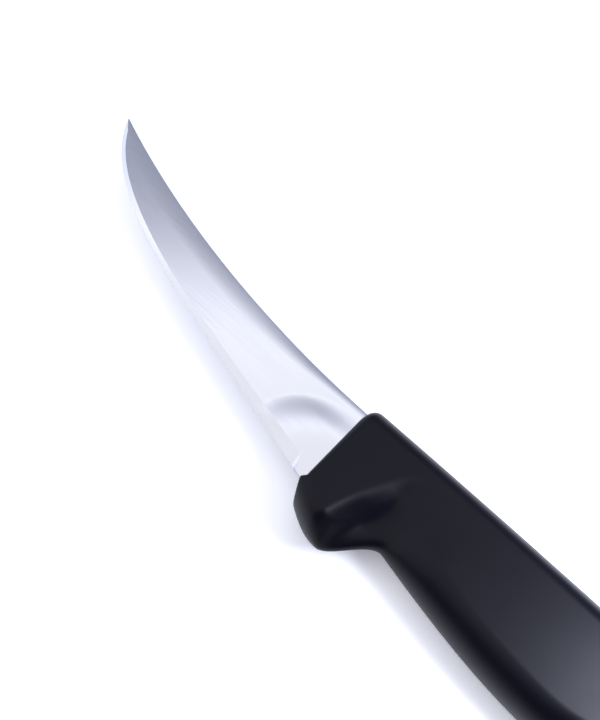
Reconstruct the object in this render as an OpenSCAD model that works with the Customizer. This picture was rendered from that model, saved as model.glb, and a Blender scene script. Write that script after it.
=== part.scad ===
// Curved boning knife with a moulded handle, lying on its side.
// X runs along the handle with the tip towards -X, the spine faces +Y, and Z = 0 is the table.
// The knife is drawn with X = 0 at the handle's front, Y = 0 on the handle's axis and Z = 0 in the
// middle of the blade, and place() then lays it on the table.

/* [Blade] */
// Length of the blade from the handle's front to the tip
blade_len = 130; // [110:1:160]
// Height of the blade where it enters the handle
heel_h = 26.4; // [23:0.2:28]
// Rise of the tip above the straight part of the spine
tip_rise = 21; // [12:0.5:28]
// Length of straight spine next to the handle
spine_straight = 20; // [10:1:30]
// Slope of the spine at the tip, in degrees
spine_slope = 18; // [12:1:22]
// Slope of the edge at the heel, in degrees
heel_slope = 12.7; // [9:0.1:15]
// Slope of the edge at the tip, in degrees
tip_slope = 60; // [50:1:66]
// Thickness of the spine at the handle
spine_t = 2.2; // [1.6:0.1:3]
// Thickness of the spine at the point
point_t = 0.5; // [0.3:0.05:1]
// Thickness of the edge before it is sharpened
edge_t = 0.6; // [0.3:0.05:1]
// Rounding of the corners of the spine
spine_round = 0.4; // [0.1:0.05:0.6]
// Blunt width of the point
point_w = 0.4; // [0.2:0.1:1]

/* [Sharpened bevel] */
// Width of the bevel on the front half of the edge
bevel_w = 1.3; // [0.8:0.1:2]
// Width of the bevel at the heel
bevel_heel_w = 3.5; // [2:0.1:5]
// Distance from the handle at which the bevel ends
bevel_gap = 4; // [3:0.5:10]
// Distance from the handle at which the bevel starts to widen
bevel_widen = 75; // [40:1:90]
// Thickness left at the sharp edge
sharp_t = 0.06; // [0.04:0.01:0.1]

/* [Tang] */
// Length of full blade height held in the handle
root_len = 10; // [6:1:14]
// Length of the tang from the handle's front
tang_len = 100; // [70:1:115]
// Height of the tang
tang_h = 15; // [10:0.5:17]
// Diameter of the holes that lock the tang in the handle
hole_d = 6; // [4:0.5:8]
// Distance of the first hole from the handle's front
hole_x = 42; // [28:1:45]
// Distance between the two holes
hole_pitch = 34; // [15:1:40]
// Gap between the steel and the plastic around it
bond_gap = 0.02; // [0.01:0.01:0.05]

/* [Handle] */
// Length of the handle
handle_len = 140; // [136:1:160]
// Thickness of the handle between its flat sides
handle_t = 19; // [17:0.5:24]
// Height from the crest of the back to the bottom of the belly
belly_h = 34; // [32:0.1:36]
// Height from the crest of the back to the bottom of the finger guard
guard_h = 39; // [37:0.2:42]
// Height of the handle's front face
front_h = 33; // [31.8:0.1:34]
// Height from the crest of the back to the neck behind the guard
neck_h = 28.1; // [26.5:0.1:29.5]
// Height from the crest of the back to the waist in front of the butt
waist_h = 28.8; // [27:0.2:30.6]
// Height from the crest of the back to the bottom of the butt's hook
hook_h = 34; // [32:0.5:37]
// Rise of the back line from the front to its crest
back_rise = 0.8; // [0:0.1:2]
// Slope of the back line at the front, in degrees
back_slope = 1.2; // [0:0.1:2]
// Drop of the back line from its crest to the butt
butt_drop = 3.5; // [0:0.5:5]
// Distance of the guard's lowest point from the front
guard_x = 12.5; // [11:0.5:14]
// Distance of the neck from the front
neck_x = 28.5; // [26:0.5:32]
// Slope of the belly line at the neck, in degrees
neck_fall = 9.5; // [4:0.5:12]
// Distance of the belly's lowest point and the back's crest from the front
belly_x = 80; // [70:1:88]
// Distance of the waist from the front
waist_x = 110; // [102:1:114]
// Distance of the butt's hook from the front
hook_x = 128; // [124:0.5:130]
// Depth of the spine below the back at the front
spine_inset = 1.6; // [1:0.1:2.4]
// Height of the rounded shoulders along the back and the belly
shoulder_h = 6; // [4:0.2:7]
// Rounding of the front's edges
front_round = 3.5; // [2:0.1:4.5]
// Rounding of the butt's edges, along the handle
butt_round = 9; // [6:0.5:10]
// Rounding of the butt's edges, across the handle
butt_round_t = 6; // [4:0.2:7]
// Slant of the front face, in degrees
front_slant = 4; // [0:0.5:6]
// Reach of the guard's nose ahead of the front face
nose_reach = 0.8; // [0:0.1:2]
// Height over which the nose fades into the front face
nose_w = 2; // [1:0.1:4]

/* [Finger groove] */
// Distance of the groove's upper end from the front
groove_x = 22; // [20:0.5:24]
// Depth of the groove's upper end below the crest of the back
groove_top = 8.5; // [7.5:0.1:12]
// Backward lean of the groove's front wall at its upper end, in degrees
groove_lean = 33; // [26:0.5:34]
// Radius of the bow in the groove's front wall
groove_bow = 75; // [65:1:150]
// Spread of the groove behind its front wall, in degrees
groove_spread = 27; // [20:0.5:32]
// Depth of the groove in each side of the handle
groove_depth = 5; // [2:0.1:6]
// Length of the groove from its upper end to its full depth
groove_rise = 11; // [8:0.5:20]
// Height below the axis at which the groove opens into the neck
groove_open = 6; // [4:0.5:8]
// Slope of the groove's open end towards the belly, in degrees
groove_flare = 54; // [40:1:60]

/* [Hidden] */

steel = "#c6c9d2";
plastic = "#1e1e22";

// The part's origin lies under the middle of the handle
origin_x = handle_len / 2;
half_t = handle_t / 2;

// Levels above the handle's axis, which runs through the middle of the belly
back_y = belly_h / 2;
belly_y = -belly_h / 2;
collar_y = back_y - back_rise;
spine_y = collar_y - spine_inset;
heel_y = spine_y - heel_h;
tip_y = spine_y + tip_rise;

// How far each end's slope carries along the spine and along the edge
spine_arms = [31, 45];
edge_arms = [69, 29];

// Facets: rings along each stretch, and points on a shoulder and across a flat side
blade_rings = 56;
bevel_rings = 8;
round_rings = 6;
collar_rings = 6;
groove_rings = 20;
grip_rings = 24;
shoulder_points = 7;
flat_points = 16;
hole_sides = 48;

// Crowding of the blade's rings towards the tip
tip_crowding = 1.3;

// Largest share of the spine's thickness left at the edge, and of the blade's height in the bevel
edge_share = 0.9;
bevel_share = 0.45;

// Largest share of the handle's height in one shoulder
shoulder_share = 0.45;

// Share of the bevel's width left where it has closed
bevel_least = 0.02;

// Step along the blade over which the edge's slope is taken
slope_step = 0.2;

// Length that the groove's rings are counted over, their least width, and their fade behind the groove
groove_span = 16;
groove_band = 4;
lean_fade = 25;

// Height over which the groove's back bends into its flare
flare_bend = 4;

function mix(a, b, t) = a + (b - a) * t;
function clamp(t) = min(max(t, 0), 1);
function ease(t) = let (c = clamp(t)) c * c * (3 - 2 * c);
function quarter(t) = let (c = clamp(t)) sqrt(1 - (1 - c) * (1 - c));

// A cubic curve, its parameter at a given x (x falls along the curve), and its height there
function bezier(p, t) = pow(1 - t, 3) * p[0] + 3 * t * pow(1 - t, 2) * p[1]
    + 3 * t * t * (1 - t) * p[2] + pow(t, 3) * p[3];
function curve_t(p, x, low = 0, high = 1, steps = 24) =
    let (mid = (low + high) / 2)
    steps == 0 ? mid
    : bezier(p, mid)[0] > x ? curve_t(p, x, mid, high, steps - 1)
    : curve_t(p, x, low, mid, steps - 1);
function curve_y(p, x) = bezier(p, curve_t(p, x))[1];

// A smooth line through points, each given as its x, its height and the line's slope there
function line_y(p, x, i = 0) =
    x <= p[i + 1][0] || i + 2 >= len(p) ? span_y(p[i], p[i + 1], x) : line_y(p, x, i + 1);
function span_y(a, b, x) =
    let (w = b[0] - a[0], t = clamp((x - a[0]) / w), r = 1 - t)
    mix(a[1], b[1], ease(t)) + w * t * r * (r * a[2] - t * b[2]);

tip = [-blade_len, tip_y];
spine_curve = [
    [-spine_straight, spine_y],
    [-spine_straight - spine_arms[0], spine_y],
    tip + spine_arms[1] * [cos(spine_slope), -sin(spine_slope)],
    tip
];
edge_curve = [
    [0, heel_y],
    [0, heel_y] + edge_arms[0] * [-cos(heel_slope), sin(heel_slope)],
    tip + edge_arms[1] * [cos(tip_slope), -sin(tip_slope)],
    tip
];

function spine_at(x) = x > -spine_straight ? spine_y : curve_y(spine_curve, x);
function edge_at(x) = x > 0 ? heel_y : curve_y(edge_curve, x);
function edge_stretch(x) = norm([slope_step, edge_at(x - slope_step) - edge_at(x)]) / slope_step;

// The bevel widens towards the heel and ends there in a quarter round
bevel_end = -bevel_gap - bevel_heel_w;
function bevel_close(x) = quarter((-bevel_gap - x) / bevel_heel_w);
function bevel_at(x) = mix(bevel_w, bevel_heel_w, clamp((x + bevel_widen) / (bevel_end + bevel_widen)))
    * max(bevel_close(x), bevel_least);

// One section of the blade, from the edge over the upper side to the spine and back below
function blade_ring(x, grow) =
    let (
        top = spine_at(x),
        low = edge_at(x),
        share = pow(clamp(-x / blade_len), 2),
        spine_half = mix(spine_t, point_t, share) / 2,
        edge_half = min(edge_t / 2, spine_half * edge_share),
        bevel_h = min(bevel_at(x) * edge_stretch(x), bevel_share * (top - low)),
        bevel_half = mix(edge_half, spine_half, bevel_h / (top - low)),
        sharp_half = mix(edge_half, sharp_t / 2, bevel_close(x)),
        corner = min(spine_round, spine_half / 2, (top - low) / 4),
        upper = [
            [x, low - grow, sharp_half + grow],
            [x, low - grow + bevel_h, bevel_half + grow],
            [x, top + grow - corner, spine_half + grow],
            [x, top + grow, spine_half + grow - corner]
        ]
    )
    concat(upper, [for (p = reversed(upper)) [p[0], p[1], -p[2]]]);

blade_stations = concat(
    [for (i = [0 : blade_rings - 1])
        mix(point_w - blade_len, bevel_end, pow(i / blade_rings, tip_crowding))],
    [for (i = [bevel_rings : -1 : 0]) -bevel_gap - bevel_heel_w * (1 - cos(90 * i / bevel_rings))],
    [0, root_len]
);

// Side faces of a run of rings, n points each, and a strip of faces that closes a symmetric ring.
// A ring is mirrored in the middle plane, and lone is 1 where its first point lies in that plane.
function side_faces(rings, n) = [
    for (i = [0 : rings - 2], j = [0 : n - 1])
    let (a = i * n + j, b = i * n + (j + 1) % n)
    each j < n / 2 ? [[a, b, a + n], [b, b + n, a + n]] : [[a, b, b + n], [a, b + n, a + n]]
];
function twin(j, n, lone) = (n - 1 + lone - j) % n;
function strip(a, b, c, d) = a == d ? [a, b, c] : b == c ? [a, b, d] : [a, b, c, d];
function reversed(list) = [for (i = [len(list) - 1 : -1 : 0]) list[i]];
function cap_faces(n, lone) = [
    for (j = [0 : n / 2 - 2 + lone])
    strip(j, j + 1, twin(j + 1, n, lone), twin(j, n, lone))
];

module loft(rings, lone = 0) {
    n = len(rings[0]);
    caps = cap_faces(n, lone);
    last = (len(rings) - 1) * n;
    polyhedron(
        points = [for (ring = rings) each ring],
        faces = concat(
            side_faces(len(rings), n),
            [for (face = caps) reversed(face)],
            [for (face = caps) [for (j = face) j + last]]
        )
    );
}

module tang(grow) {
    overlap = root_len / 2;
    thick = spine_t + 2 * grow;
    translate([0, 0, -thick / 2])
        linear_extrude(thick)
            difference() {
                translate([root_len - overlap, -tang_h / 2 - grow])
                    square([tang_len - root_len + overlap + grow, tang_h + 2 * grow]);
                for (i = [0, 1])
                    translate([hole_x + i * hole_pitch, 0])
                        circle(d = hole_d - 2 * grow, $fn = hole_sides);
            }
}

module steel_body(grow = 0) {
    loft([for (x = blade_stations) blade_ring(x + (x > 0 ? grow : 0), grow)]);
    tang(grow);
}

// Outline of the handle seen from its side
front_y = collar_y - front_h;
guard_y = back_y - guard_h;
back_points = [
    [0, collar_y, tan(back_slope)],
    [belly_x, back_y, 0],
    [handle_len, back_y - butt_drop, 0]
];
belly_points = [
    [guard_x, guard_y, 0],
    [neck_x, back_y - neck_h, -tan(neck_fall)],
    [belly_x, belly_y, 0],
    [waist_x, back_y - waist_h, 0],
    [hook_x, back_y - hook_h, 0],
    [handle_len, back_y - waist_h, 0]
];
function back_at(x) = line_y(back_points, x);
function belly_at(x) = x < guard_x ? mix(front_y, guard_y, sin(90 * clamp(x / guard_x)))
    : line_y(belly_points, x);

// The ends draw in along quarter rounds: 1 at the full section, 0 at the end face
function front_fill(s) = quarter(s / front_round);
function butt_fill(s) = quarter((handle_len - s) / butt_round);
function end_inset(s) = front_round * (1 - front_fill(s)) + butt_round * (1 - butt_fill(s));
function half_at(s) = half_t - front_round * (1 - front_fill(s)) - butt_round_t * (1 - butt_fill(s));

// The finger groove runs down behind a bowed ridge, and widens towards the neck
groove_y = back_y - groove_top;
function ridge_x(y) = let (d = y - groove_y) groove_x + tan(groove_lean) * d + d * d / 2 / groove_bow;
function flare(d) = tan(groove_flare) * (d + norm([d, flare_bend])) / 2;
function groove_w(y) = tan(groove_spread) * (groove_y - y)
    + flare(-groove_open - y) - flare(-groove_open - groove_y);
function groove(x, y) =
    let (behind = x - ridge_x(y), w = groove_w(y))
    w <= 0 || behind <= 0 ? 0
    : groove_depth / half_t * sin(90 * clamp((groove_y - y) / groove_rise)) * groove_cut(clamp(behind / w));

// Share of the groove's depth from its ridge at 0 to its back at 1, deepest at a third of the way
function groove_cut(t) = 27 / 4 * t * pow(1 - t, 2);

// The front face slants back below the spine, and the guard's nose reaches ahead of it
function front_x(y) = tan(front_slant) * (spine_y - y)
    - nose_reach * exp(-pow((y - front_y - front_round) / nose_w, 2));

// Each ring has a place s along the handle and leans with the front face, the ridge or the groove's back
groove_end = groove_x + groove_span;
lean_end = groove_end + lean_fade;
function groove_back(y) = ridge_x(y) + norm([max(groove_w(y), 0), groove_band]);
function ring_x(s, y) =
    s < groove_x ? mix(front_x(y), ridge_x(y), s / groove_x)
    : s < groove_end ? mix(ridge_x(y), groove_back(y), (s - groove_x) / groove_span)
    : s < lean_end ? mix(groove_back(y), lean_end, (s - groove_end) / lean_fade)
    : s;

// Ends of a leaning ring on the outline, found by repeating
function back_end(s, y, steps = 10) = steps == 0 ? y : back_end(s, back_at(ring_x(s, y)), steps - 1);
function belly_end(s, y, steps = 10) = steps == 0 ? y : belly_end(s, belly_at(ring_x(s, y)), steps - 1);

// One section of the handle: flat sides between two rounded shoulders
function handle_ring(s) =
    let (
        inset = end_inset(s),
        top = back_end(s, back_y) - inset,
        low = belly_end(s, belly_y) + inset,
        round_h = min(shoulder_h, shoulder_share * (top - low)),
        half = half_at(s),
        side = concat(
            [for (i = [0 : shoulder_points])
                let (a = 90 * i / shoulder_points) [low + round_h * (1 - cos(a)), half * sin(a)]],
            [for (i = [1 : flat_points - 1])
                [mix(low + round_h, top - round_h, i / flat_points), half]],
            [for (i = [shoulder_points : -1 : 0])
                let (a = 90 * i / shoulder_points) [top - round_h * (1 - cos(a)), half * sin(a)]]
        ),
        upper = [for (p = side)
            let (x = ring_x(s, p[0])) [x, p[0], p[1] * (1 - groove(x, p[0]))]]
    )
    concat(upper, [for (i = [len(upper) - 2 : -1 : 1]) [upper[i][0], upper[i][1], -upper[i][2]]]);

butt_start = handle_len - butt_round;
handle_stations = concat(
    [for (i = [0 : round_rings - 1]) front_round * (1 - cos(90 * i / round_rings))],
    [for (i = [0 : collar_rings - 1]) mix(front_round, groove_x, i / collar_rings)],
    [for (i = [0 : groove_rings - 1]) mix(groove_x, groove_end, i / groove_rings)],
    [for (i = [0 : grip_rings - 1]) mix(groove_end, butt_start, i / grip_rings)],
    [for (i = [0 : round_rings]) butt_start + butt_round * sin(90 * i / round_rings)]
);

module place() {
    translate([-origin_x, 0, half_t]) children();
}

module blade() {
    color(steel) place() steel_body();
}

module handle() {
    color(plastic) place() difference() {
        loft([for (s = handle_stations) handle_ring(s)], 1);
        steel_body(bond_gap);
    }
}

blade();
handle();
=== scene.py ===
import math

import bmesh
import bpy
import numpy as np
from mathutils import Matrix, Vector


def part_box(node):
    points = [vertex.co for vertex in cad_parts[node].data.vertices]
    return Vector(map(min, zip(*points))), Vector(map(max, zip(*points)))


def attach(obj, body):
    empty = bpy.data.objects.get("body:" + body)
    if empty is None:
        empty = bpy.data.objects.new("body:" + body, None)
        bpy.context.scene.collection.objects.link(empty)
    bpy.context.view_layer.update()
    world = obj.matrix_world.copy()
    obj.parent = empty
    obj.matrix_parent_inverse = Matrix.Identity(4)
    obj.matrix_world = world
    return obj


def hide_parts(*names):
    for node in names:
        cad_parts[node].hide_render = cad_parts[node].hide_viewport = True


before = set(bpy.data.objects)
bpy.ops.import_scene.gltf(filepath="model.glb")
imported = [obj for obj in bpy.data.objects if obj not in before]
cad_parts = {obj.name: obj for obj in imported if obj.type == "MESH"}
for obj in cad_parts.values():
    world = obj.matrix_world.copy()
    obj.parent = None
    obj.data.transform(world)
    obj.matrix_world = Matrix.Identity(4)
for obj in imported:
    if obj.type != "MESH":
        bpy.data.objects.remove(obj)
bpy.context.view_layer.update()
print("frame loaded with", ", ".join(sorted(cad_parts)))

mm = 0.001  # sizes below are in millimetres, and the scene is in metres


def mix(a, b, t):
    return a + (b - a) * t


def clamp(t):
    return min(max(t, 0.0), 1.0)


def ease(t):
    c = clamp(t)
    return c * c * (3 - 2 * c)


def quarterRound(t):  # rises from 0 to 1 along a quarter of a circle
    return math.sqrt(1 - (1 - clamp(t)) ** 2)


def slopeOf(degrees):
    return math.tan(math.radians(degrees))


def steps(count, power=1.0):  # numbers from 0 up to 1, without the 1, closer together at the start
    return [(i / count) ** power for i in range(count)]


def linear(hexColour):
    channels = [int(hexColour[i:i + 2], 16) / 255 for i in (1, 3, 5)]
    return [c / 12.92 if c <= 0.04045 else ((c + 0.055) / 1.055) ** 2.4 for c in channels] + [1.0]


def addNode(tree, kind, settings=None, sockets=None, links=None):
    node = tree.nodes.new(kind)
    for name, value in (settings or {}).items():
        setattr(node, name, value)
    for name, value in (sockets or {}).items():
        node.inputs[name].default_value = value
    for name, source in (links or {}).items():
        tree.links.new(source, node.inputs[name])
    return node


def newMaterial(name):
    material = bpy.data.materials.new(name)
    material.use_nodes = True
    material.node_tree.nodes.clear()
    return material, material.node_tree


def newObject(name, mesh):
    thing = bpy.data.objects.new(name, mesh)
    bpy.context.scene.collection.objects.link(thing)
    return thing


def applyBoolean(thing, cutter, operation):
    change = thing.modifiers.new("cut", "BOOLEAN")
    change.operation = operation
    change.solver = "EXACT"
    change.object = cutter
    bpy.context.view_layer.update()
    shaped = thing.evaluated_get(bpy.context.evaluated_depsgraph_get())
    old, thing.data = thing.data, bpy.data.meshes.new_from_object(shaped)
    thing.modifiers.clear()
    bpy.data.meshes.remove(old)
    bpy.data.objects.remove(cutter)
    thing.data.name = thing.name


# A closed skin over rings that are mirrored in the middle plane.
# The first point of a ring has a twin below it, or lies in that plane itself when lone is 1.
def loftMesh(name, rings, lone, creases=()):
    count = len(rings[0])
    last = (len(rings) - 1) * count
    points = [[x * mm, y * mm, z * mm] for ring in rings for x, y, z in ring]

    def twin(j):
        return (count - 1 + lone - j) % count

    faces = []
    for i in range(len(rings) - 1):
        for j in range(count):
            a = i * count + j
            b = i * count + (j + 1) % count
            faces.append((a, a + count, b + count, b))
    for j in range(count // 2 - 1 + lone):
        strip = list(dict.fromkeys((j, j + 1, twin(j + 1), twin(j))))
        faces.append(strip)
        faces.append([last + k for k in reversed(strip)])

    mesh = bpy.data.meshes.new(name)
    mesh.from_pydata(points, [], faces)
    work = bmesh.new()
    work.from_mesh(mesh)
    for edge in work.edges:
        columns = {v.index % count for v in edge.verts}
        edge.smooth = not (len(columns) == 1 and columns & set(creases))
    for face in work.faces:
        face.smooth = True
    bmesh.ops.recalc_face_normals(work, faces=work.faces)
    work.to_mesh(mesh)
    work.free()
    return mesh


# Where the knife lies in the frame:
# its drawing has x = 0 at the handle's front and y = 0 on the handle's axis
knife = {
    "handleLength": 140.0,
    "bellyHeight": 34.0,    # crest of the back to the belly
    "backRise": 0.8,        # the back climbs this much from the front to its crest
    "spineInset": 1.5,      # the blade's spine sits this far below the handle's back
}
handleLow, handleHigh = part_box("handle")
frontX = handleHigh.x / mm - knife["handleLength"]
middleZ = (handleLow.z + handleHigh.z) / 2 / mm
halfThick = (handleHigh.z - handleLow.z) / 2 / mm
backY = knife["bellyHeight"] / 2
collarY = backY - knife["backRise"]
spineY = collarY - knife["spineInset"]


def placed(x, y, z):
    return (x + frontX, y, z + middleZ)


# The blade
blade = {
    "length": 130.0,          # handle's front to the tip
    "heelHeight": 26.5,
    "tipRise": 20.9,          # tip above the straight spine
    "straightSpine": 4.0,
    "spineSlope": 19.1,       # degrees, at the tip
    "heelSlope": 12.7,        # degrees, edge at the heel
    "tipSlope": 60.0,         # degrees, edge at the tip
    "spineArms": (26.7, 54.7),
    "edgeArms": (69.0, 29.0),
    "spineThick": 2.2,
    "pointThick": 0.5,
    "edgeThick": 0.6,         # behind the sharpened bevel
    "sharpThick": 0.06,
    "spineRound": 0.4,
    "cornerShare": 0.25,      # the spine's round takes no more than this share
    "pointWidth": 0.4,
    "bevelWidth": 1.3,
    "bevelHeelWidth": 3.5,
    "bevelGap": 4.0,          # bare steel between the bevel and the handle
    "bevelWiden": 75.0,       # the bevel widens from here to the heel
    "bevelShare": 0.45,       # and takes no more than this share of the height
    "bevelLeast": 0.02,       # share of its width left at its very end
    "bevelEndPower": 0.6,     # it is nearly at full depth soon after its rounded end
    "edgeShare": 0.9,         # the edge is thinner than the spine, up to the tip
    "rollWidth": (2.6, 6.5),  # the buffed face rolls over towards the spine, at the handle and further out
    "rollGrow": 50.0,         # the roll reaches its full width this far from the handle
    "rollSlope": 0.2,
    "rollShare": 0.46,        # and takes no more than this share of the thickness
    "grindDepth": 0.1,        # the ground face lies below the bare stock
    "runOutRise": (0.35, 0.8),  # and climbs where the grinding stops, at the spine and lower down
    "runOutLength": 25.0,     # the grinding stops along this quarter ellipse, ahead of the handle
    "runOutHeight": 18.6,
    "runOutDrop": 20.5,       # the ellipse's centre below the spine
    "runOutFade": 0.68,       # share of the ellipse that the climb takes
    "runOutPowers": (1.5, 3),  # how softly the climb starts and ends
    "runOutLow": 0.45,        # one rise turns into the other over this share of the height
    "rootLength": 10.0,       # full height held in the handle
    "tangLength": 100.0,
    "tangHeight": 15.0,
    "holeSize": 6.0,
    "holeX": 42.0,
    "holePitch": 34.0,
    "rings": 300,
    "tipCrowding": 1.3,       # rings are closer together towards the tip
    "bevelRings": 24,
    "gapRings": 4,
    "bevelColumns": 6,
    "faceColumns": 54,
    "faceCrowding": 1.4,      # columns are closer together towards the spine
    "cornerColumns": 5,
}
heelY = spineY - blade["heelHeight"]


def bezierLine(points, count=4000):
    t = np.linspace(0, 1, count)[:, None]
    p = [np.array(point) for point in points]
    line = (1 - t) ** 3 * p[0] + 3 * t * (1 - t) ** 2 * p[1] + 3 * t * t * (1 - t) * p[2] + t ** 3 * p[3]
    return line[::-1]  # from the tip back, so x rises


def turned(length, degrees):
    return np.array([length * math.cos(math.radians(degrees)), length * math.sin(math.radians(degrees))])


tip = np.array([-blade["length"], spineY + blade["tipRise"]])
spineStart = np.array([-blade["straightSpine"], spineY])
heelPoint = np.array([0.0, heelY])
spineLine = bezierLine([
    spineStart,
    spineStart - [blade["spineArms"][0], 0],
    tip + turned(blade["spineArms"][1], -blade["spineSlope"]),
    tip,
])
edgeLine = bezierLine([
    heelPoint,
    heelPoint + turned(blade["edgeArms"][0], 180 - blade["heelSlope"]),
    tip + turned(blade["edgeArms"][1], -blade["tipSlope"]),
    tip,
])


def spineAt(x):
    return float(np.interp(x, spineLine[:, 0], spineLine[:, 1]))


def edgeAt(x):
    return float(np.interp(x, edgeLine[:, 0], edgeLine[:, 1]))


def edgeStretch(x, step=0.2):  # height of a band across the edge, for each mm of its true width
    return math.hypot(step, edgeAt(x - step) - edgeAt(x)) / step


bevelEnd = -blade["bevelGap"] - blade["bevelHeelWidth"]


def bevelRun(x):  # 0 at the bevel's end and 1 where its rounded end is over
    return clamp((-blade["bevelGap"] - x) / blade["bevelHeelWidth"])


def bevelAt(x):
    widen = clamp((x + blade["bevelWiden"]) / (bevelEnd + blade["bevelWiden"]))
    width = mix(blade["bevelWidth"], blade["bevelHeelWidth"], widen)
    return width * max(quarterRound(bevelRun(x)), blade["bevelLeast"])


def spineHalfAt(x):
    return mix(blade["spineThick"], blade["pointThick"], clamp(-x / blade["length"]) ** 2) / 2


# Half thickness of the ground face: a wedge that rolls over to the spine,
# and climbs where the grinding runs out.
def faceHalf(x, y, top, low):
    stock = spineHalfAt(x)
    share = clamp((y - low) / (top - low))
    ground = stock * (1 - blade["grindDepth"] / blade["spineThick"] * 2)
    wedge = mix(min(blade["edgeThick"] / 2, blade["edgeShare"] * stock), ground, share)
    rise = max(y - (spineY - blade["runOutDrop"]), 0)
    inside = 1 - math.hypot(x / blade["runOutLength"], rise / blade["runOutHeight"])
    start, end = blade["runOutPowers"]
    climb = 1 - (1 - clamp(inside / blade["runOutFade"]) ** start) ** end
    wedge += climb * mix(*blade["runOutRise"], ease((1 - share) / blade["runOutLow"]))
    width = min(mix(*blade["rollWidth"], ease(-x / blade["rollGrow"])), (top - low) / 2)
    roll = min(blade["rollSlope"] * width / 2, blade["rollShare"] * ground)
    return wedge - roll * clamp(1 - (top - y) / width) ** 2


def bladeRing(x):
    top, low = spineAt(x), edgeAt(x)
    bevelTop = low + min(bevelAt(x) * edgeStretch(x), blade["bevelShare"] * (top - low))
    bevelDepth = quarterRound(bevelRun(x)) ** blade["bevelEndPower"]
    sharp = mix(faceHalf(x, low, top, low), blade["sharpThick"] / 2, bevelDepth)
    shoulder = faceHalf(x, bevelTop, top, low)
    corner = min(blade["spineRound"], blade["cornerShare"] * min(spineHalfAt(x), top - low))
    faceTop = top - corner
    crown = faceHalf(x, faceTop, top, low)
    upper = [(mix(low, bevelTop, t), mix(sharp, shoulder, t)) for t in steps(blade["bevelColumns"])]
    for i in range(blade["faceColumns"]):
        y = mix(bevelTop, faceTop, 1 - (1 - i / blade["faceColumns"]) ** blade["faceCrowding"])
        upper.append((y, faceHalf(x, y, top, low)))
    for i in range(blade["cornerColumns"] + 1):
        turn = math.pi / 2 * i / blade["cornerColumns"]
        upper.append((faceTop + corner * math.sin(turn), crown - corner * (1 - math.cos(turn))))
    lower = [(y, -z) for y, z in reversed(upper)]
    return [placed(x, y, z) for y, z in upper + lower]


def plateWithHoles(name, low, high, holes, thick, sides=48):
    work = bmesh.new()
    outline = [(low[0], low[1]), (high[0], low[1]), (high[0], high[1]), (low[0], high[1])]
    loops = [outline]
    for centre, size in holes:
        turns = [2 * math.pi * i / sides for i in range(sides)]
        loops.append([(centre + size / 2 * math.cos(a), size / 2 * math.sin(a)) for a in turns])
    edges = []
    for loop in loops:
        corners = [work.verts.new(Vector(placed(x, y, -thick / 2)) * mm) for x, y in loop]
        edges += [work.edges.new((corners[i - 1], corners[i])) for i in range(len(corners))]
    bmesh.ops.triangle_fill(work, edges=edges, use_beauty=True)
    grown = bmesh.ops.extrude_face_region(work, geom=work.faces[:])
    moved = [part for part in grown["geom"] if isinstance(part, bmesh.types.BMVert)]
    bmesh.ops.translate(work, verts=moved, vec=(0, 0, thick * mm))
    bmesh.ops.recalc_face_normals(work, faces=work.faces)
    mesh = bpy.data.meshes.new(name)
    work.to_mesh(mesh)
    work.free()
    return newObject(name, mesh)


def makeBlade():
    tipX = blade["pointWidth"] - blade["length"]
    stations = [mix(tipX, bevelEnd, t) for t in steps(blade["rings"], blade["tipCrowding"])]
    for i in range(blade["bevelRings"], -1, -1):  # the bevel's round end
        turn = math.pi / 2 * i / blade["bevelRings"]
        stations.append(-blade["bevelGap"] - blade["bevelHeelWidth"] * (1 - math.cos(turn)))
    stations += [-blade["bevelGap"] * (1 - t) for t in steps(blade["gapRings"])[1:]]
    stations += [0, blade["rootLength"]]
    rings = [bladeRing(x) for x in stations]
    column = blade["bevelColumns"]
    creases = [0, column, len(rings[0]) - 1, len(rings[0]) - 1 - column]
    piece = newObject("ground_blade", loftMesh("ground_blade", rings, 0, creases))

    overlap = blade["rootLength"] / 2
    halfHeight = blade["tangHeight"] / 2
    holes = [(blade["holeX"] + i * blade["holePitch"], blade["holeSize"]) for i in (0, 1)]
    tang = plateWithHoles(
        "tang",
        (blade["rootLength"] - overlap, -halfHeight),
        (blade["tangLength"], halfHeight),
        holes,
        blade["spineThick"],
    )
    applyBoolean(piece, tang, "UNION")

    grain = piece.data.uv_layers.new(name="grain")  # u runs along the blade, the way it was polished
    for loop in piece.data.loops:
        spot = piece.data.vertices[loop.vertex_index].co
        grain.data[loop.index].uv = (spot.x, spot.y)
    return piece


bladePiece = makeBlade()
print("blade made:", len(bladePiece.data.polygons), "faces")

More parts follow.
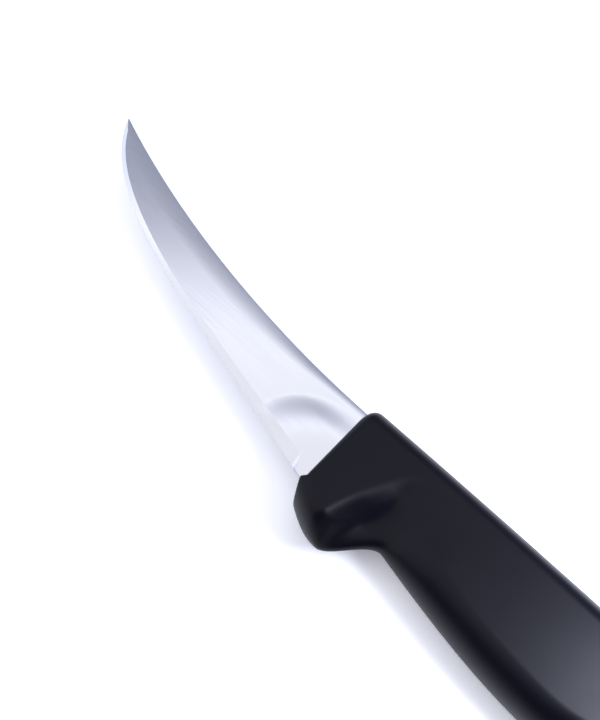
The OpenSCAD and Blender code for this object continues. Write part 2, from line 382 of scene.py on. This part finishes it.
# The handle
handle = {
    "guardHeight": 38.99,    # crest of the back down to the finger guard
    "frontHeight": 32.5,
    "neckHeight": 28.1,
    "waistHeight": 28.8,
    "hookHeight": 34.0,
    "backSlope": 1.2,        # degrees, at the front
    "backSwell": 0.4,        # the back stands this far outside the solid's
    "buttDrop": 3.5,
    "guardX": 15.0,
    "neckX": 28.5,
    "neckFall": 9.5,         # degrees
    "bellyX": 80.0,
    "waistX": 110.0,
    "hookX": 128.0,
    "shoulder": 6.0,         # height of the rounded shoulders
    "shoulderShare": 0.45,   # and their largest share of a ring's height
    "frontRound": 2.6,
    "buttRound": 9.0,
    "buttRoundThick": 6.0,
    "frontSlant": 4.0,       # degrees
    "frontOut": 0.3,         # the front face stands this far ahead
    "noseReach": 1.5,        # the plastic stands forward below the blade's heel
    "noseDrop": 0.1,         # from this far below the heel
    "noseStep": 1.4,         # it comes out over this height
    "noseFall": 6.0,         # and goes back over this height
    "grooveX": 21.2,
    "grooveTop": 8.5,
    "grooveLean": 33.0,      # degrees
    "grooveBow": 55.0,       # radius of the bowed ridge
    "ridgeSoft": 0.8,        # the ridge's round turn
    # the side rounds over to the belly: place along the handle, height of the rounding, slope of that line
    "rise": [(0, 6.0, 0), (12, 6.0, 0), (22, 10.5, 0), (60, 7.5, 0), (140, 7.0, 0)],
    "risePower": (1.7, 2.0),  # how full the rounding is at its crest and at its foot
    "slopeRound": 1.5,       # round turn between a ring and that rounding
    # two hollows behind the ridge: depth, height where it starts, height it deepens over, fading length
    "stepDepths": ((3.0, 11.0, 16.0, 22.0), (2.4, 1.0, 12.0, 13.0)),
    "stepRun": (5.0, 8.6),   # the step down from the ridge is this long, high up and low down
    "runTop": 6.0,           # it lengthens below this height
    "runFall": 12.0,         # over this height
    "grooveSpan": 16.0,      # rings follow the ridge's line this far behind it
    "leanFade": 25.0,        # and straighten over this length
    "sharpAngle": 50.0,      # degrees, turns above this stay sharp
    "frontRings": 14,
    "collarRings": 40,
    "collarCrowding": 1.6,   # rings are closer together towards the ridge, from both sides
    "grooveRings": 70,
    "grooveCrowding": 1.2,
    "gripRings": 110,
    "buttRings": 18,
    "shoulderPoints": 16,
    "flatPoints": 56,
}
frontY = collarY - handle["frontHeight"]
guardY = backY - handle["guardHeight"]
grooveY = backY - handle["grooveTop"]
backPoints = [
    (0.0, collarY + handle["backSwell"], slopeOf(handle["backSlope"])),
    (handle["bellyX"], backY + handle["backSwell"], 0.0),
    (knife["handleLength"], backY - handle["buttDrop"], 0.0),
]
bellyPoints = [
    (handle["guardX"], guardY, 0.0),
    (handle["neckX"], backY - handle["neckHeight"], -slopeOf(handle["neckFall"])),
    (handle["bellyX"], -backY, 0.0),
    (handle["waistX"], backY - handle["waistHeight"], 0.0),
    (handle["hookX"], backY - handle["hookHeight"], 0.0),
    (knife["handleLength"], backY - handle["waistHeight"], 0.0),
]


def smoothLine(points, x):  # through points, each with the line's slope there
    i = 0
    while i < len(points) - 2 and x > points[i + 1][0]:
        i += 1
    (x0, y0, m0), (x1, y1, m1) = points[i], points[i + 1]
    t = clamp((x - x0) / (x1 - x0))
    return mix(y0, y1, ease(t)) + (x1 - x0) * t * (1 - t) * ((1 - t) * m0 - t * m1)


def backAt(x):
    return smoothLine(backPoints, x)


def bellyAt(x):
    if x < handle["guardX"]:
        return mix(frontY, guardY, math.sin(math.pi / 2 * clamp(x / handle["guardX"])))
    return smoothLine(bellyPoints, x)


def ridgeX(y):  # the bowed ridge in front of the finger groove
    d = y - grooveY
    return handle["grooveX"] + slopeOf(handle["grooveLean"]) * d + d * d / 2 / handle["grooveBow"]


def softStep(d, soft):  # 0 before a crest, d behind it, and a round turn between
    if d <= -soft:
        return 0.0
    return d if d >= soft else (d + soft) ** 2 / 4 / soft


def softMin(a, b, soft):  # the smaller of two, with a round turn between
    return min(a, b) - max(soft - abs(a - b), 0) ** 2 / 4 / soft if soft > 0 else min(a, b)


def slopeHalf(x, y, step=0.2):  # half the thickness where the side rounds over to the belly
    bellySlope = (bellyAt(x + step) - bellyAt(x - step)) / (2 * step)
    fromBelly = (y - bellyAt(x)) / math.hypot(1, bellySlope)
    rise = smoothLine(handle["rise"], x)
    crest, foot = handle["risePower"]
    return halfThick * (1 - clamp(1 - fromBelly / rise) ** crest) ** (1 / foot)


def stepShare(x, y):  # part of the thickness that the step behind the ridge takes away
    behind = softStep(x - ridgeX(y), handle["ridgeSoft"])
    run = mix(*handle["stepRun"], ease((handle["runTop"] - y) / handle["runFall"]))
    depth = 0
    for high, top, fall, back in handle["stepDepths"]:
        depth += high * ease((top - y) / fall) * (1 - ease((behind - run) / back))
    return depth / halfThick * ease(behind / run)


def frontFaceX(y):
    below = heelY - handle["noseDrop"] - y
    nose = ease(below / handle["noseStep"]) * (1 - ease(below / handle["noseFall"]))
    return slopeOf(handle["frontSlant"]) * (spineY - y) - handle["noseReach"] * nose - handle["frontOut"]


grooveEnd = handle["grooveX"] + handle["grooveSpan"]
leanEnd = grooveEnd + handle["leanFade"]
buttStart = knife["handleLength"] - handle["buttRound"]


def ringX(s, y):  # rings lean with the front face and then with the ridge
    if s < handle["grooveX"]:
        return mix(frontFaceX(y), ridgeX(y), s / handle["grooveX"])
    if s < grooveEnd:
        return ridgeX(y) + s - handle["grooveX"]
    if s < leanEnd:
        return mix(ridgeX(y) + handle["grooveSpan"], leanEnd, (s - grooveEnd) / handle["leanFade"])
    return s


def ringEnd(s, outline, y, tries=12):  # where a leaning ring meets the outline, found by repeating
    for _ in range(tries):
        y = outline(ringX(s, y))
    return y


def underSlope(x, y, z):  # the lower of the ring and the slope, with a round turn between them
    slope = slopeHalf(x, y)
    lowest = min(z, slope)
    soft = min(handle["slopeRound"], (halfThick - lowest) / 2, lowest / 2)
    return softMin(z, slope, soft) * (1 - stepShare(x, y))


def handleRing(s):
    frontGap = 1 - quarterRound(s / handle["frontRound"])
    buttGap = 1 - quarterRound((knife["handleLength"] - s) / handle["buttRound"])
    inset = handle["frontRound"] * frontGap + handle["buttRound"] * buttGap
    half = halfThick - handle["frontRound"] * frontGap - handle["buttRoundThick"] * buttGap
    top = ringEnd(s, backAt, backY) - inset
    low = ringEnd(s, bellyAt, -backY) + inset
    roundHeight = min(handle["shoulder"], handle["shoulderShare"] * (top - low))
    count = handle["shoulderPoints"]
    turns = [math.pi / 2 * i / count for i in range(count + 1)]
    side = [(low + roundHeight * (1 - math.cos(a)), half * math.sin(a)) for a in turns]
    for t in steps(handle["flatPoints"])[1:]:
        side.append((mix(low + roundHeight, top - roundHeight, t), half))
    side += [(top - roundHeight * (1 - math.cos(a)), half * math.sin(a)) for a in reversed(turns)]
    upper = [(ringX(s, y), y, z) for y, z in side]
    upper = [(x, y, underSlope(x, y, z)) for x, y, z in upper]
    lower = [(x, y, -z) for x, y, z in upper[-2:0:-1]]
    return [placed(*point) for point in upper + lower]


def makeHandle():
    stations = [handle["frontRound"] * (1 - math.cos(math.pi / 2 * t)) for t in steps(handle["frontRings"])]
    for t in steps(handle["collarRings"]):
        stations.append(mix(handle["grooveX"], handle["frontRound"], (1 - t) ** handle["collarCrowding"]))
    for t in steps(handle["grooveRings"], handle["grooveCrowding"]):
        stations.append(mix(handle["grooveX"], grooveEnd, t))
    stations += [mix(grooveEnd, buttStart, t) for t in steps(handle["gripRings"])]
    for i in range(handle["buttRings"] + 1):
        stations.append(buttStart + handle["buttRound"] * math.sin(math.pi / 2 * i / handle["buttRings"]))
    piece = newObject("moulded_handle", loftMesh("moulded_handle", [handleRing(s) for s in stations], 1))

    steel = newObject("steel", bladePiece.data.copy())  # leaves the slot in the plastic
    applyBoolean(piece, steel, "DIFFERENCE")
    piece.data.set_sharp_from_angle(angle=math.radians(handle["sharpAngle"]))
    return piece


handlePiece = makeHandle()
print("handle made:", len(handlePiece.data.polygons), "faces")


# Stainless steel, ground and then polished lengthwise:
# a bright satin that stretches reflections across the blade
def satinSteel():
    look = {
        "colour": "#c3c4ca",
        "roughness": 0.2,
        "roughSpread": 0.07,
        "streakWidth": 0.35,    # finer on real steel, drawn coarse enough to show
        "streakLength": 14.0,
        "streakDepth": 0.02,
    }
    alongScale = 1 / look["streakLength"] / mm
    acrossScale = 1 / look["streakWidth"] / mm
    material, tree = newMaterial("stainless_steel_satin_ground")
    spot = addNode(tree, "ShaderNodeTexCoord")
    stretch = addNode(
        tree, "ShaderNodeMapping",
        sockets={"Scale": (alongScale, acrossScale, acrossScale)},
        links={"Vector": spot.outputs["Object"]},
    )
    streaks = addNode(
        tree, "ShaderNodeTexNoise",
        sockets={"Scale": 1.0, "Detail": 4.0, "Roughness": 0.6},
        links={"Vector": stretch.outputs["Vector"]},
    )
    rough = addNode(
        tree, "ShaderNodeMapRange",
        sockets={
            "To Min": look["roughness"] - look["roughSpread"],
            "To Max": look["roughness"] + look["roughSpread"],
        },
        links={"Value": streaks.outputs["Fac"]},
    )
    bump = addNode(
        tree, "ShaderNodeBump",
        sockets={"Strength": 0.14, "Distance": look["streakDepth"] * mm},
        links={"Height": streaks.outputs["Fac"]},
    )
    across = addNode(tree, "ShaderNodeTangent", {"direction_type": "UV_MAP", "uv_map": "grain"})
    shader = addNode(
        tree, "ShaderNodeBsdfPrincipled",
        sockets={
            "Base Color": linear(look["colour"]),
            "Metallic": 1.0,
            "Anisotropic": 0.5,
            "Anisotropic Rotation": 0.25,
        },
        links={
            "Roughness": rough.outputs["Result"],
            "Normal": bump.outputs["Normal"],
            "Tangent": across.outputs["Tangent"],
        },
    )
    addNode(tree, "ShaderNodeOutputMaterial", links={"Surface": shader.outputs["BSDF"]})
    return material


# Polypropylene, injection moulded in a fine-grained mould: a deep black with a dull, slightly bluish sheen
def mouldedPlastic():
    look = {
        "colour": "#05050e",
        "roughness": 0.37,
        "roughSpread": 0.04,
        "grain": 0.3,           # finer on the real handle, drawn coarse enough to show
        "grainDepth": 0.02,
        "mottle": 9.0,          # patches that are a little duller or shinier
    }
    material, tree = newMaterial("polypropylene_black_moulded")
    spot = addNode(tree, "ShaderNodeTexCoord")
    grain = addNode(
        tree, "ShaderNodeTexNoise",
        sockets={"Scale": 1 / look["grain"] / mm, "Detail": 3.0},
        links={"Vector": spot.outputs["Object"]},
    )
    mottle = addNode(
        tree, "ShaderNodeTexNoise",
        sockets={"Scale": 1 / look["mottle"] / mm, "Detail": 2.0},
        links={"Vector": spot.outputs["Object"]},
    )
    rough = addNode(
        tree, "ShaderNodeMapRange",
        sockets={
            "To Min": look["roughness"] - look["roughSpread"],
            "To Max": look["roughness"] + look["roughSpread"],
        },
        links={"Value": mottle.outputs["Fac"]},
    )
    bump = addNode(
        tree, "ShaderNodeBump",
        sockets={"Strength": 0.15, "Distance": look["grainDepth"] * mm},
        links={"Height": grain.outputs["Fac"]},
    )
    shader = addNode(
        tree, "ShaderNodeBsdfPrincipled",
        sockets={"Base Color": linear(look["colour"]), "IOR": 1.49, "Specular IOR Level": 0.14},
        links={"Roughness": rough.outputs["Result"], "Normal": bump.outputs["Normal"]},
    )
    addNode(tree, "ShaderNodeOutputMaterial", links={"Surface": shader.outputs["BSDF"]})
    return material


def dress(piece, material, node):
    piece.data.materials.clear()
    piece.data.materials.append(material)
    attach(piece, "root")
    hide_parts(node)


dress(bladePiece, satinSteel(), "blade")
dress(handlePiece, mouldedPlastic(), "handle")
print("materials set")


# Opal acrylic light table under the knife: matt white that glows a little, so that shadows stay pale
def opalTable():
    material, tree = newMaterial("acrylic_opal_lit")
    shader = addNode(
        tree, "ShaderNodeBsdfPrincipled",
        sockets={
            "Base Color": linear("#f4f4f6"),
            "Roughness": 0.9,
            "Specular IOR Level": 0.1,
            "Emission Color": linear("#e9ebfa"),
            "Emission Strength": 0.31,
        },
    )
    addNode(tree, "ShaderNodeOutputMaterial", links={"Surface": shader.outputs["BSDF"]})
    return material


def makeFloor(size=40.0):  # metres
    half = size / 2
    corners = [(-half, -half, 0), (half, -half, 0), (half, half, 0), (-half, half, 0)]
    mesh = bpy.data.meshes.new("floor")
    mesh.from_pydata(corners, [], [(0, 1, 2, 3)])
    mesh.materials.append(opalTable())
    newObject("floor", mesh)


makeFloor()

# The camera looks down on the blade from above the handle's belly side
camera = {
    "azimuth": 46.08,       # degrees
    "elevation": 61.0,      # degrees
    "distance": 296.4,
    "lens": 52.5,
    "aimAhead": 27.1,       # aim point ahead of the handle's front
    "aimDrop": 1.29,        # aim point below the spine
}
azimuth = math.radians(camera["azimuth"])
elevation = math.radians(camera["elevation"])
forward = Vector((
    -math.sin(azimuth) * math.cos(elevation),
    math.cos(azimuth) * math.cos(elevation),
    -math.sin(elevation),
))
farSide = Vector((-math.sin(azimuth), math.cos(azimuth), 0))    # level, away from the camera
rightSide = Vector((math.cos(azimuth), math.sin(azimuth), 0))
aim = Vector(placed(-camera["aimAhead"], spineY - camera["aimDrop"], 0)) * mm


def makeCamera():
    lens = bpy.data.cameras.new("camera")
    lens.lens = camera["lens"]
    lens.clip_start = 0.01
    body = bpy.data.objects.new("camera", lens)
    body.location = aim - forward * camera["distance"] * mm
    body.rotation_euler = forward.to_track_quat("-Z", "Y").to_euler()
    bpy.context.scene.collection.objects.link(body)
    bpy.context.scene.camera = body


makeCamera()

# Soft studio light: a white tent all round, dimmer on the far side and behind the camera, and one lamp
lamp = {
    "height": 0.12,             # metres, as are the two ranges below
    "far": (-0.122, -0.062),    # from the aim point away from the camera
    "side": (0.09, 0.15),       # and to the right
    "radiance": 37.0,
    "colour": "#e4eaff",
}


def makeLamp():
    light = bpy.data.lights.new("lamp", "AREA")
    light.shape = "RECTANGLE"
    light.size = lamp["side"][1] - lamp["side"][0]
    light.size_y = lamp["far"][1] - lamp["far"][0]
    light.energy = lamp["radiance"] * math.pi * light.size * light.size_y
    light.color = linear(lamp["colour"])[:3]
    body = bpy.data.objects.new("lamp", light)
    body.location = aim + farSide * sum(lamp["far"]) / 2 + rightSide * sum(lamp["side"]) / 2
    body.location.z = lamp["height"]
    body.rotation_euler = (0, 0, azimuth)
    body.visible_camera = False
    bpy.context.scene.collection.objects.link(body)


makeLamp()

tent = {
    "colours": ((0.55, "#f8f8fd"), (0.78, "#e0e7ff")),  # bluer on the dim far side
    "brightest": 3.0,
    # light from the camera's side over the top to the far side, by distance for each metre of height
    "bands": (
        (-0.75, 0.1), (-0.2, 1.5), (0.0, 1.6), (0.25, 1.45), (0.42, 1.5),
        (0.49, 1.8), (0.57, 2.35), (0.7, 0.8), (0.82, 0.58), (1.0, 0.64),
    ),
    "glow": 1.9,                # the far side is light again on the left
    "glowSide": (-0.3, -0.45),  # the glow comes up over this stretch to the left
    "glowFar": (0.5, 0.65),     # and over this one towards the far side
}


def makeTent():
    world = bpy.data.worlds.new("studio")
    world.use_nodes = True
    tree = world.node_tree
    tree.nodes.clear()
    sky = addNode(tree, "ShaderNodeTexCoord")
    turn = addNode(
        tree, "ShaderNodeMapping",
        sockets={"Rotation": (0, 0, -azimuth)},
        links={"Vector": sky.outputs["Generated"]},
    )
    parts = addNode(tree, "ShaderNodeSeparateXYZ", links={"Vector": turn.outputs["Vector"]})
    reach = addNode(
        tree, "ShaderNodeMath", {"operation": "DIVIDE"},
        links={0: parts.outputs["Y"], 1: parts.outputs["Z"]},
    )
    place = addNode(
        tree, "ShaderNodeMapRange",
        sockets={"From Min": -1.0, "From Max": 1.0},
        links={"Value": reach.outputs["Value"]},
    )
    bands = addNode(tree, "ShaderNodeValToRGB", links={"Fac": place.outputs["Result"]})
    bands.color_ramp.interpolation = "EASE"
    while len(bands.color_ramp.elements) < len(tent["bands"]):
        bands.color_ramp.elements.new(0.5)
    for stop, (spot, light) in zip(bands.color_ramp.elements, tent["bands"]):
        stop.position = (spot + 1) / 2
        stop.color = [light / tent["brightest"]] * 3 + [1.0]
    strength = addNode(
        tree, "ShaderNodeMath", {"operation": "MULTIPLY"},
        sockets={1: tent["brightest"]},
        links={0: bands.outputs["Color"]},
    )
    across = addNode(
        tree, "ShaderNodeMath", {"operation": "DIVIDE"},
        links={0: parts.outputs["X"], 1: parts.outputs["Z"]},
    )
    farGlow = addNode(
        tree, "ShaderNodeMapRange",
        sockets={
            "From Min": tent["glowFar"][0],
            "From Max": tent["glowFar"][1],
            "To Max": tent["glow"],
        },
        links={"Value": reach.outputs["Value"]},
    )
    leftGlow = addNode(
        tree, "ShaderNodeMapRange",
        sockets={"From Min": tent["glowSide"][0], "From Max": tent["glowSide"][1]},
        links={"Value": across.outputs["Value"], "To Max": farGlow.outputs["Result"]},
    )
    brighter = addNode(
        tree, "ShaderNodeMath", {"operation": "MAXIMUM"},
        links={0: strength.outputs["Value"], 1: leftGlow.outputs["Result"]},
    )
    tint = addNode(tree, "ShaderNodeValToRGB", links={"Fac": place.outputs["Result"]})
    for stop, (spot, colour) in zip(tint.color_ramp.elements, tent["colours"]):
        stop.position = (spot + 1) / 2
        stop.color = linear(colour)
    light = addNode(
        tree, "ShaderNodeBackground",
        links={"Color": tint.outputs["Color"], "Strength": brighter.outputs["Value"]},
    )
    addNode(tree, "ShaderNodeOutputWorld", links={"Surface": light.outputs["Background"]})
    bpy.context.scene.world = world


makeTent()
bpy.context.scene.view_settings.view_transform = "Standard"
print("camera and lights set")
